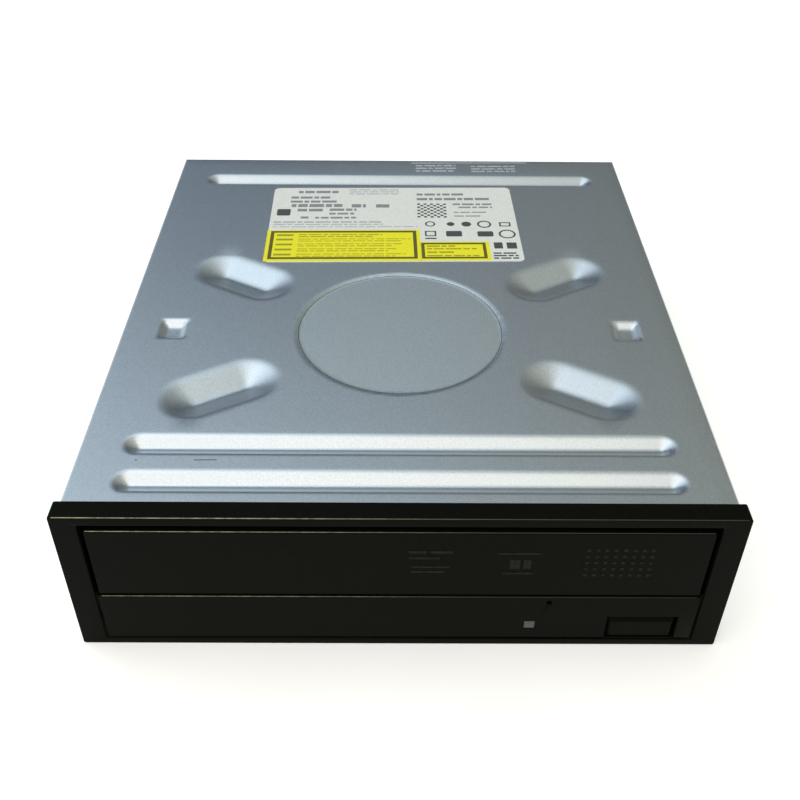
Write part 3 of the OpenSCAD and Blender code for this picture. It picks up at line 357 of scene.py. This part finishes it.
def fade_glints():
    """The painted highlights along the edges are bright at the left and fall off to the right."""
    tree = materials["edge_glint"].node_tree
    shader = tree.nodes["Principled BSDF"]
    where = tree.nodes.new("ShaderNodeTexCoord").outputs["Object"]
    split = tree.nodes.new("ShaderNodeSeparateXYZ")
    tree.links.new(where, split.inputs[0])
    fall = ranged(tree, split.outputs["X"], GLINT_FROM * MM, GLINT_TO * MM, 0, 1)
    before = shader.inputs["Base Color"].links[0].from_socket
    dim = tinted(tree, before, GLINT_DIM)
    tree.links.new(blended(tree, fall, before, dim), shader.inputs["Base Color"])


def tinted(tree, colour, tint):
    """A colour multiplied by a tint."""
    mix = tree.nodes.new("ShaderNodeMix")
    mix.data_type, mix.blend_type = "RGBA", "MULTIPLY"
    mix.inputs["Factor"].default_value = 1
    tree.links.new(colour, mix.inputs["A"])
    mix.inputs["B"].default_value = (*tint, 1)
    return mix.outputs["Result"]


def paint_nodes():
    for node in nodes.values():
        for place in node.material_slots:
            place.material = materials[place.material.name.split(".")[0]]


# ---------------------------------------------------------------- pieces


def piece(name, mesh_or_bm, look, body, stands_for=()):
    """A new object from a bmesh or a mesh, in the frame, with its material, body and slot."""
    if isinstance(mesh_or_bm, bmesh.types.BMesh):
        data = bpy.data.meshes.new(name)
        mesh_or_bm.to_mesh(data)
        mesh_or_bm.free()
    else:
        data = mesh_or_bm
    data.materials.clear()
    data.materials.append(materials[look])
    made = bpy.data.objects.new(name, data)
    scene.collection.objects.link(made)
    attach(made, body)
    if stands_for:
        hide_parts(*stands_for)
    return made


WELD = 0.002 * MM


def node_bmesh(name):
    bm = bmesh.new()
    bm.from_mesh(nodes[name].data)
    bmesh.ops.remove_doubles(bm, verts=bm.verts, dist=WELD)
    return bm


FLAT, SHARP, CREASE = math.radians(0.5), math.radians(35), math.radians(40)


def soften(name, width_mm, segments=2):
    """The node's own shape with its sharp edges rounded by width_mm."""
    bm = node_bmesh(name)
    bmesh.ops.dissolve_limit(bm, angle_limit=FLAT, verts=bm.verts, edges=bm.edges)
    bmesh.ops.triangulate(bm, faces=[f for f in bm.faces if len(f.verts) > 4])
    edges = [e for e in bm.edges if e.is_manifold and e.calc_face_angle(0) > SHARP]
    bmesh.ops.bevel(bm, geom=edges, offset=width_mm * MM, segments=segments, profile=0.5, affect="EDGES",
                    clamp_overlap=False, offset_type="OFFSET", loop_slide=False)
    made = piece("soft_" + name, bm, SLOT_OF[name], BODY_OF[name], [name])
    made.data.shade_smooth()
    made.data.set_sharp_from_angle(angle=CREASE)
    flat = made.modifiers.new("flat_faces", "WEIGHTED_NORMAL")
    flat.keep_sharp = True
    return made


BODY_OF = {name: node.parent.name.split(":")[-1] for name, node in nodes.items()}
SLOT_OF = {name: node.material_slots[0].material.name.split(".")[0] for name, node in nodes.items()}
SOFT_EDGES = {
    "bezel": 0.25, "tray_door": 0.25, "eject_button": 0.25, "disc_tray": 0.25, "clamp_bridge": 0.15,
    "clamper": 0.2, "load_motor": 0.4, "turntable": 0.12, "pickup_body": 0.15, "cam_slider": 0.12,
    "traverse_holder": 0.15, "data_connector": 0.1, "power_connector": 0.1, "label": 0.03,
}


# ---------------------------------------------------------------- stamped top cover

SHEET = 0.8
SIDE_BEND, REAR_BEND = 1.0, 0.9
BEND_STEPS = 6
LIP = 0.15
DISC_Y = 69.6
RIBS_Y = (11.6, 23.8, 154.8)
RIB_LENGTH, RIB_HALF, RIB_FLOOR, RIB_DEPTH = 126.0, 3.3, 0.3, 1.75
SPOKE_FROM_DISC, SPOKE_ANGLE = 50.8, math.radians(30)
SPOKE_HALF, SPOKE_FLOOR, SPOKE_LENGTH, SPOKE_DEPTH = 7.85, 0.6, 13.7, 2.7
FIELD_RADIUS, FIELD_SLOPE, FIELD_DEPTH = 27.4, 0.45, 0.4
POCKET_X, POCKET_Y, POCKET_HALF, POCKET_DEPTH = 59.8, 69.5, (3.5, 4.0), 1.5
RIB_ROUND, SPOKE_ROUND, POCKET_ROUND, FIELD_ROUND = (0.35, 0.15), (0.45, 0.2), (0.3, 0.2), (0.11, 0.08)
COARSE, FINE, TIGHT = 3.0, 0.72, 0.45
# Grid of the sheet from its middle outwards and from its front edge back, fine where it is pressed:
# (start, end, step).
ACROSS = ((0, 58, FINE), (58, 64.5, TIGHT))
ALONG = ((5, 7.5, COARSE), (7.5, 28, TIGHT), (28, 32.4, COARSE), (32.4, 106.8, FINE), (106.8, 150.5, 6),
         (150.5, 158.8, TIGHT))
COVER_CREASE = math.radians(50)
STUB_SIDE, STUB_REAR, STUB_DEEP = 2.0, 1.2, 3.0


def soft_max(a, b, k):
    return np.maximum(a, b) + np.maximum(k - np.abs(a - b), 0) ** 2 / (4 * k)


def pressed(distance, half, floor, depth, rounding):
    """Depth of a pressing with sloped sides at a distance from its middle line, its rim and foot rounded."""
    rim, foot = rounding
    slope = depth * (half - distance) / (half - floor)
    return -soft_max(-soft_max(slope, 0, rim), -depth, foot)


def to_segment(x, y, middle, angle, length):
    """Distance from a segment of this length through middle."""
    along = (x - middle[0]) * math.cos(angle) + (y - middle[1]) * math.sin(angle)
    across = (y - middle[1]) * math.cos(angle) - (x - middle[0]) * math.sin(angle)
    return np.hypot(np.maximum(np.abs(along) - length / 2, 0), across)


def cover_depth(x, y):
    """How far the sheet is pressed down at x and y, in millimetres; y counts from the bezel's front."""
    depth = np.zeros_like(x)
    for rib in RIBS_Y:
        away = to_segment(x, y, (0, rib), 0, RIB_LENGTH - 2 * RIB_HALF)
        depth += pressed(away, RIB_HALF, RIB_FLOOR, RIB_DEPTH, RIB_ROUND)
    spoke_x, spoke_y = SPOKE_FROM_DISC * math.cos(SPOKE_ANGLE), SPOKE_FROM_DISC * math.sin(SPOKE_ANGLE)
    for i in (-1, 1):
        for j in (-1, 1):
            away = to_segment(x, y, (i * spoke_x, DISC_Y + j * spoke_y), i * j * SPOKE_ANGLE, SPOKE_LENGTH)
            depth += pressed(away, SPOKE_HALF, SPOKE_FLOOR, SPOKE_DEPTH, SPOKE_ROUND)
        out_x, out_y = np.abs(x - i * POCKET_X) - POCKET_HALF[0], np.abs(y - POCKET_Y) - POCKET_HALF[1]
        away = np.hypot(np.maximum(out_x, 0), np.maximum(out_y, 0)) + np.minimum(np.maximum(out_x, out_y), 0)
        depth += pressed(away, 0, -POCKET_DEPTH, POCKET_DEPTH, POCKET_ROUND)
    away = np.hypot(x, y - DISC_Y)
    depth += pressed(away, FIELD_RADIUS, FIELD_RADIUS - FIELD_SLOPE, FIELD_DEPTH, FIELD_ROUND)
    return depth


def stops(*spans):
    """Grid lines: each span is (start, end, step)."""
    lines = []
    for start, end, step in spans:
        count = max(1, round((end - start) / step))
        lines += [start + (end - start) * i / count for i in range(count)]
    return lines + [spans[-1][1]]


def bent(lines, bend, both_ends):
    """Grid lines with a bend after the last one, and before the first: (flat place, sign, turn, straight)."""
    turns = [math.pi / 2 * i / BEND_STEPS for i in range(1, BEND_STEPS + 1)]
    edge = [(lines[-1], 1, t, 0) for t in turns] + [(lines[-1], 1, math.pi / 2, LIP + SIDE_BEND - bend)]
    flat = [(c, 0, 0, 0) for c in lines]
    if both_ends:
        return [(lines[0], -1, t, s) for _, _, t, s in reversed(edge)] + flat + edge
    return flat + edge


def cover_skin():
    """The flat of the top cover with its pressings, as a closed sheet down to just under the bends."""
    half = CASE_HI.x / MM
    depth_behind = (CASE_HI.y - FRONT_Y) / MM
    right = stops(*ACROSS, (ACROSS[-1][1], half - SIDE_BEND, COARSE))
    across = bent([-x for x in reversed(right[1:])] + right, SIDE_BEND, True)
    along = bent(stops(*ALONG, (ALONG[-1][1], depth_behind - REAR_BEND, COARSE)), REAR_BEND, False)
    layers = []
    for thin in (0.0, SHEET):
        def spread(lines, bend):
            radius = bend - thin
            place = np.array([c + sign * radius * math.sin(turn) for c, sign, turn, _ in lines])
            drop = np.array([thin + radius * (1 - math.cos(turn)) + below for _, _, turn, below in lines])
            return place, drop
        x, drop_x = spread(across, SIDE_BEND)
        y, drop_y = spread(along, REAR_BEND)
        gx, gy = np.meshgrid(x, y, indexing="ij")
        z = -np.maximum.outer(drop_x, drop_y) - cover_depth(gx, gy)
        layers.append(np.stack([gx * MM, FRONT_Y + gy * MM, CASE_TOP + z * MM], -1))
    nx, ny = len(across), len(along)
    points = np.concatenate([layer.reshape(-1, 3) for layer in layers])
    index = np.arange(nx * ny).reshape(nx, ny)
    faces = []
    for i in range(nx - 1):
        for j in range(ny - 1):
            if j == ny - 2 and i in (0, nx - 2):
                continue
            a, b, c, d = index[i, j], index[i + 1, j], index[i + 1, j + 1], index[i, j + 1]
            faces += [(a, b, c, d), (d + nx * ny, c + nx * ny, b + nx * ny, a + nx * ny)]
    rim = [index[i, 0] for i in range(nx)] + [index[nx - 1, j] for j in range(1, ny - 1)]
    rim += [index[i, ny - 1] for i in range(nx - 2, 0, -1)] + [index[0, j] for j in range(ny - 2, -1, -1)]
    for a, b in zip(rim, rim[1:]):
        faces.append((a, a + nx * ny, b + nx * ny, b))
    data = bpy.data.meshes.new("cover_skin")
    data.from_pydata([tuple(p) for p in points], [], [tuple(int(v) for v in f) for f in faces])
    bm = bmesh.new()
    bm.from_mesh(data)
    bmesh.ops.remove_doubles(bm, verts=bm.verts, dist=WELD)
    bmesh.ops.recalc_face_normals(bm, faces=bm.faces)
    made = piece("cover_skin", bm, "sheet_steel", "chassis", ["top_cover"])
    made.data.shade_smooth()
    made.data.set_sharp_from_angle(angle=COVER_CREASE)


def cover_walls():
    """The sides and rear flange of the top cover, below its bends, without what is left of the pressings."""
    cut = CASE_TOP - (SIDE_BEND + LIP) * MM
    bm = node_bmesh("top_cover")
    everything = bm.verts[:] + bm.edges[:] + bm.faces[:]
    bmesh.ops.bisect_plane(bm, geom=everything, dist=1e-7, plane_co=(0, 0, cut), plane_no=(0, 0, 1),
                           clear_outer=True)
    inside, ahead, under = CASE_HI.x - STUB_SIDE * MM, CASE_HI.y - STUB_REAR * MM, cut - STUB_DEEP * MM
    stubs = [v for v in bm.verts if abs(v.co.x) < inside and v.co.y < ahead and v.co.z > under]
    bmesh.ops.delete(bm, geom=stubs, context="VERTS")
    bmesh.ops.triangle_fill(bm, edges=[e for e in bm.edges if e.is_boundary], use_beauty=True)
    bmesh.ops.recalc_face_normals(bm, faces=bm.faces)
    made = piece("cover_walls", bm, "sheet_steel", "chassis", ["top_cover"])
    made.data.shade_flat()


# ---------------------------------------------------------------- print on the label

PRINT_TURN = math.radians(1)
PRINT_Z = LABEL_HI.z
PRINT_LAYER = 0.012 * MM


def flat_prism(bm, outline, low, high):
    """A closed prism over a flat outline of (x, y) points."""
    lower = [bm.verts.new((x, y, low)) for x, y in outline]
    upper = [bm.verts.new((x, y, high)) for x, y in outline]
    bm.faces.new(list(reversed(lower)))
    bm.faces.new(upper)
    for i in range(len(outline)):
        j = (i + 1) % len(outline)
        bm.faces.new((lower[i], lower[j], upper[j], upper[i]))


def bar_outline(x0, x1, y0, y1, turn=PRINT_TURN, corner=0.0):
    """Corners of a printed bar, read level from the photograph and turned with the label."""
    middle_x, middle_y = (x0 + x1) / 2, (y0 + y1) / 2
    w, h = (x1 - x0) / 2, max((y1 - y0) - (x1 - x0) * math.sin(turn), 0.4 * (y1 - y0)) / 2
    if corner:
        corners = [(sx * (w - corner) + corner * math.cos(a), sy * (h - corner) + corner * math.sin(a))
                   for sx, sy, first in ((1, 1, 0), (-1, 1, 90), (-1, -1, 180), (1, -1, 270))
                   for a in (math.radians(first + 30 * k) for k in range(4))]
    else:
        corners = [(w, h), (-w, h), (-w, -h), (w, -h)]
    c, s = math.cos(turn), math.sin(turn)
    return [((middle_x + c * x - s * y) * MM, from_front(middle_y + s * x + c * y)) for x, y in corners]


def disc_outline(x, y, radius, count=24):
    return [((x + radius * math.cos(a)) * MM, from_front(y + radius * math.sin(a)))
            for a in (2 * math.pi * k / count for k in range(count))]


def print_piece(name, look, shapes, layer=1, base=PRINT_Z):
    """Flat print: each shape is ("bar", x0, x1, y0, y1), ("soft", x0, x1, y0, y1), ("dot", x, y, r),
    ("ring", x, y, r, line) or ("frame", x0, x1, y0, y1, line), in millimetres."""
    bm = bmesh.new()
    low, high = base, base + layer * PRINT_LAYER
    for kind, *v in shapes:
        if kind == "bar":
            flat_prism(bm, bar_outline(*v), low, high)
        elif kind == "soft":
            flat_prism(bm, bar_outline(*v, corner=0.5), low, high)
        elif kind == "dot":
            flat_prism(bm, disc_outline(*v), low, high)
        elif kind == "ring":
            x, y, radius, line = v
            ring_prism(bm, disc_outline(x, y, radius), disc_outline(x, y, radius - line), low, high)
        elif kind == "frame":
            x0, x1, y0, y1, line = v
            outer = bar_outline(x0, x1, y0, y1)
            cx, cy = sum(p[0] for p in outer) / 4, sum(p[1] for p in outer) / 4
            w, h = math.dist(outer[0], outer[1]), math.dist(outer[1], outer[2])
            inner = [(cx + (p[0] - cx) * (1 - 2 * line * MM / w), cy + (p[1] - cy) * (1 - 2 * line * MM / h))
                     for p in outer]
            ring_prism(bm, outer, inner, low, high)
    bmesh.ops.recalc_face_normals(bm, faces=bm.faces)
    return piece(name, bm, look, "chassis")


def ring_prism(bm, outer, inner, low, high):
    """A closed flat ring between two outlines of as many points."""
    rings = [[bm.verts.new((x, y, z)) for x, y in outline] for outline, z in
             ((outer, low), (outer, high), (inner, high), (inner, low))]
    count = len(outer)
    for a, b in zip(rings, rings[1:] + rings[:1]):
        for i in range(count):
            j = (i + 1) % count
            bm.faces.new((a[i], a[j], b[j], b[i]))


def rows(x0, x1, ys, height, first=0):
    return [bar for i, y in enumerate(ys) for bar in words(x0, x1, y - height / 2, y + height / 2, first + i)]


WORD_LENGTHS = (2.4, 3.8, 1.5, 3.0, 4.6, 2.0, 3.4, 1.2)
WORD_GAP = 0.55


def words(x0, x1, y0, y1, first=0):
    """A printed row broken into bars of uneven length along its slanted middle line."""
    slant = math.sin(PRINT_TURN)
    middle_x, middle_y = (x0 + x1) / 2, (y0 + y1) / 2
    height = max((y1 - y0) - (x1 - x0) * slant, 0.4 * (y1 - y0))
    bars, start, i = [], x0, first
    while start < x1 - 0.4:
        end = min(start + WORD_LENGTHS[i % len(WORD_LENGTHS)], x1)
        y = middle_y + ((start + end) / 2 - middle_x) * slant
        reach = (height + (end - start) * slant) / 2
        bars.append(("bar", start, end, y - reach, y + reach))
        start, i = end + WORD_GAP, i + 1
    return bars


def label_print():
    big_y = (118.3, 115.7, 112.8, 109.9, 107.0)
    big_end = (-5.2, 3.3, 0.6, -0.4, 1.7)
    small_y = (112.3, 110.8, 108.8, 106.9)
    small_end = (16.4, 22.7, 15.9, 23.3)
    print_piece("print_fields", "print_yellow", [
        ("bar", -39.9, 6.2, 103.1, 122.0), ("bar", 6.2, 26.7, 104.1, 115.2)], 1)
    print_piece("print_frames", "print_olive", [
        ("frame", -38.8, 5.1, 104.4, 121.5, 1.05), ("frame", 6.4, 25.6, 105.2, 114.6, 0.95)], 2)
    moss = []
    for i, (y, end) in enumerate(zip(big_y, big_end)):
        moss.append(("bar", -37, -32, y - 0.55, y + 0.55))
        moss += words(-30.4, end, y + 0.15, y + 1.05, i) + words(-30.4, end - 3, y - 1.05, y - 0.15, i + 3)
    for i, (y, end) in enumerate(zip(small_y, small_end)):
        moss += words(8, end, y - 0.35, y + 0.55, i + 1)
    print_piece("print_notes", "print_moss", moss, 2)
    bold = ((-34.6, -22, 141.5, 143.1), (-34.6, -19.9, 138.8, 140.4), (-34.1, -18.1, 135.9, 138.1),
            (-15.2, -10.7, 135.9, 138.1), (-7.5, -3.3, 135.9, 138.1), (5.4, 20.9, 144.1, 145.7),
            (5.4, 28.5, 140.9, 142.8))
    print_piece("print_bold", "print_grey", [bar for i, row in enumerate(bold) for bar in words(*row, i)])
    plain = ((-32.5, -18.8, 145.2, 147), (-32, -24.1, 133.1, 134.9), (-22, -13.6, 133.6, 135.2),
             (-22, -13.6, 131.2, 132.5), (-30.7, -28.3, 128.6, 129.9), (-26.2, -13.6, 128.6, 129.9),
             (16.7, 29.1, 137.8, 139.1), (18.5, 29.1, 135.9, 137), (16.9, 27, 132.8, 133.6),
             (16.9, 25.9, 130.4, 131.2))
    plain_bars = [bar for i, row in enumerate(plain) for bar in words(*row, i + 2)]
    print_piece("print_rows", "print_grey", plain_bars)
    fine = rows(-16.2, -0.4, (147.8, 146.4, 145.0), 0.9)
    last_rows = ((-38.8, -5.2, 125.7, 127.3), (-38.8, -5.2, 124.4, 125.6), (-38.8, 5.4, 123.0, 124.3))
    for i, row in enumerate(last_rows):
        fine += words(*row, i)
    print_piece("print_fine", "print_pale", fine)
    dark = [("soft", -38.3, -34.1, 130.4, 134.6), ("dot", 20.4, 125.7, 1.5), ("soft", 14, 18.8, 118.1, 121.5),
            ("ring", 25.9, 125.7, 2.2, 0.6), ("ring", 32.5, 119.8, 2.6, 0.6), ("ring", 9.3, 125.7, 1.6, 0.5),
            ("dot", 15.6, 125.7, 1.2), ("frame", 30.5, 34, 124.4, 127, 0.5),
            ("frame", 7.6, 11, 118.2, 121.4, 0.5),
            ("bar", 7.6, 11, 116.5, 117.3), ("soft", 23.5, 28.3, 118.2, 121.4)]
    cells = 9
    step = 9.2 / cells
    for i in range(cells):
        for j in range(cells):
            if (i + j) % 2 == 0:
                x, y = 5.5 + i * step, 129.7 + j * step
                dark.append(("bar", x, x + step * 0.9, y, y + step * 0.9))
    dark += [("bar", 28, 30.6, 111.2, 114.8), ("bar", 31.8, 34.8, 111.2, 114.8)]
    dark += rows(27.5, 34.8, (108.6, 107.2, 105.8), 0.9)
    print_piece("print_marks", "print_dark", dark)


def front_prism(bm, x0, x1, z0, z1, front, back):
    """A closed block between two depths, its face to the front; all in metres."""
    corners = [(x0, z0), (x1, z0), (x1, z1), (x0, z1)]
    near = [bm.verts.new((x, front, z)) for x, z in corners]
    far = [bm.verts.new((x, back, z)) for x, z in corners]
    bm.faces.new(near)
    bm.faces.new(list(reversed(far)))
    for i in range(4):
        j = (i + 1) % 4
        bm.faces.new((near[j], near[i], far[i], far[j]))


def painted_highlight_line(name, node_name, x0, x1, y, z, reach):
    """A painted highlight line along a front edge that lies at y and z, as a thin closed strip across its
    bevel.
    """
    bm = bmesh.new()
    sections = []
    for x in (x0, x1):
        profile = ((0, -reach), (reach, 0), (reach, -0.03), (0.03, -reach))
        sections.append([bm.verts.new((x * MM, y + dy * MM, z + dz * MM)) for dy, dz in profile])
    bm.faces.new(sections[0])
    bm.faces.new(list(reversed(sections[1])))
    for i in range(4):
        j = (i + 1) % 4
        bm.faces.new((sections[0][j], sections[0][i], sections[1][i], sections[1][j]))
    bmesh.ops.recalc_face_normals(bm, faces=bm.faces)
    piece(name, bm, "edge_glint", BODY_OF[node_name])


def front_marks():
    """Painted highlights along the edges of the bezel, door and panel, and the plain low relief on the door,
    painted a little lighter as a sheen.
    """
    half = BEZEL_HI.x / MM
    gate = DOOR_HI.x / MM
    # Painted highlights along the top front edges.
    painted_highlight_line("glint_bezel", "bezel", 1 - half, half - 1, BEZEL_LO.y, BEZEL_HI.z, 0.13)
    painted_highlight_line("glint_door", "tray_door", 0.5 - gate, gate - 0.5, DOOR_LO.y, DOOR_HI.z, 0.11)
    painted_highlight_line("glint_panel", "bezel", 0.5 - gate, gate - 0.5, BEZEL_LO.y, PANEL_TOP * MM, 0.08)
    bm = bmesh.new()
    # The relief blocks stand barely proud of the door; their lighter look is a painted sheen.
    front, back = DOOR_LO.y - 0.06 * MM, DOOR_LO.y + 0.05 * MM
    for x0, x1, z0, z1 in RELIEF_BARS:
        front_prism(bm, x0 * MM, x1 * MM, z0 * MM, z1 * MM, front, back)
    for i in range(RELIEF_DOTS[0]):
        for j in range(RELIEF_DOTS[1]):
            x, z = RELIEF_DOTS_AT[0] + i * RELIEF_STEP[0], RELIEF_DOTS_AT[1] + j * RELIEF_STEP[1]
            front_prism(bm, x * MM, (x + RELIEF_DOT) * MM, z * MM, (z + RELIEF_DOT) * MM, front, back)
    bmesh.ops.recalc_face_normals(bm, faces=bm.faces)
    piece("door_relief", bm, "relief", BODY_OF["tray_door"])


PANEL_TOP = 17.0
RELIEF_BARS = (
    (1.8, 5.6, 31.2, 32.0), (6.6, 11.4, 31.2, 32.0), (1.8, 8.6, 29.4, 30.0), (2.4, 10.8, 26.6, 27.2),
    (2.4, 9.6, 25.0, 25.6),
    (21.2, 30.8, 31.0, 31.5), (24.0, 26.2, 26.4, 29.4), (27.0, 28.6, 26.4, 29.4), (22.6, 29.6, 24.6, 25.2),
)
RELIEF_DOTS, RELIEF_DOTS_AT, RELIEF_STEP, RELIEF_DOT = (8, 5), (40.4, 24.0), (2.0, 2.0), 0.8


def cover_marks():
    """Old faint print at the rear and a short scratch by the ribs."""
    ghost = [("bar", 3.9, 43.2, 167.3, 168.6)] + rows(5.4, 18.9, (165.8, 163.8, 161.8), 1.2)
    ghost += rows(24, 38.9, (165.5, 163.6, 161.8), 1.1, 2)
    print_piece("faint_print", "ghost_print", ghost, 1, CASE_TOP)
    scuffs = [("bar", -46.3, -41.2, 18.25, 18.6), ("dot", -59.2, 18.3, 0.2, 10)]
    print_piece("scratch", "scuff", scuffs, 1, CASE_TOP)


make_camera()
make_world()
make_lights()
make_floor()
make_field()
fade_glints()
paint_nodes()
cover_skin()
cover_walls()
for node_name, edge in SOFT_EDGES.items():
    soften(node_name, edge)
label_print()
cover_marks()
front_marks()

scene.view_settings.view_transform = "Standard"
